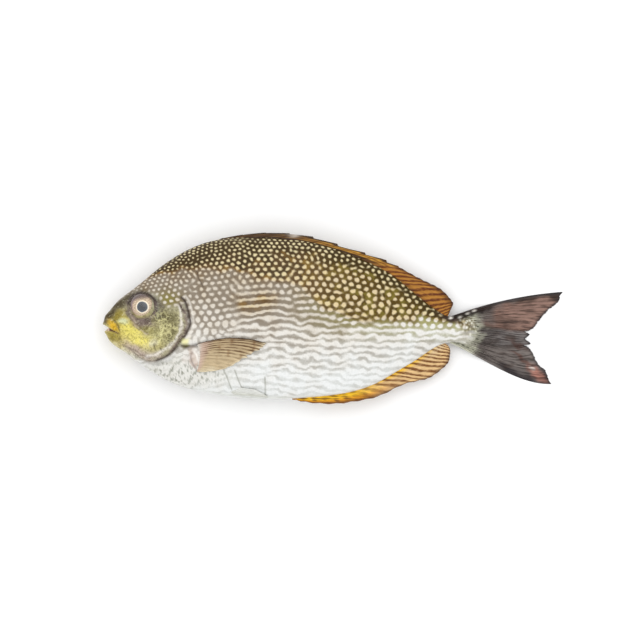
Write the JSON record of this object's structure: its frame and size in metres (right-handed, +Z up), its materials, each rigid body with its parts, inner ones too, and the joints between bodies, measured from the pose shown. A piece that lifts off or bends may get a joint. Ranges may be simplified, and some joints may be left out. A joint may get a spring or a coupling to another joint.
{
  "type": "whole raw fish",
  "caption": "Whole raw spinefoot fish lying on its side: deep oval body, small mouth, pale spots on brown over a white belly, folded spiny back fin and a forked tail",
  "frame": {"origin": "centre of the bounding box in plan, on the surface the fish lies on", "axes": "+X from the snout to the tail, +Y from the belly to the back, +Z up from the surface through the left flank, which is uppermost"},
  "size_m": [0.3, 0.1116, 0.0364],
  "materials": {
    "spotted_skin": "moist satin skin, cream spots on a dark olive-brown net over the back, grey wavy lines on a white belly",
    "eye": "wet gloss, dark blue-grey pupil in a tan iris",
    "back_fin": "satin, orange-brown rays with dark stripes",
    "belly_fin": "satin, orange-yellow rays with a brown margin",
    "tail_web": "satin, grey-brown rays, pinkish tips",
    "side_fin": "thin satin web, tan with fine brown rays",
    "pelvic_web": "thin satin web, off-white"
  },
  "bodies": {
    "root": {"body": "spotted_skin", "left_eye": "eye", "right_eye": "eye", "dorsal_fin": "back_fin", "anal_fin": "belly_fin", "tail_fin": "tail_web", "left_pectoral_fin": "side_fin", "right_pectoral_fin": "side_fin", "left_pelvic_fin": "pelvic_web", "right_pelvic_fin": "pelvic_web"}
  },
  "joints": []
}
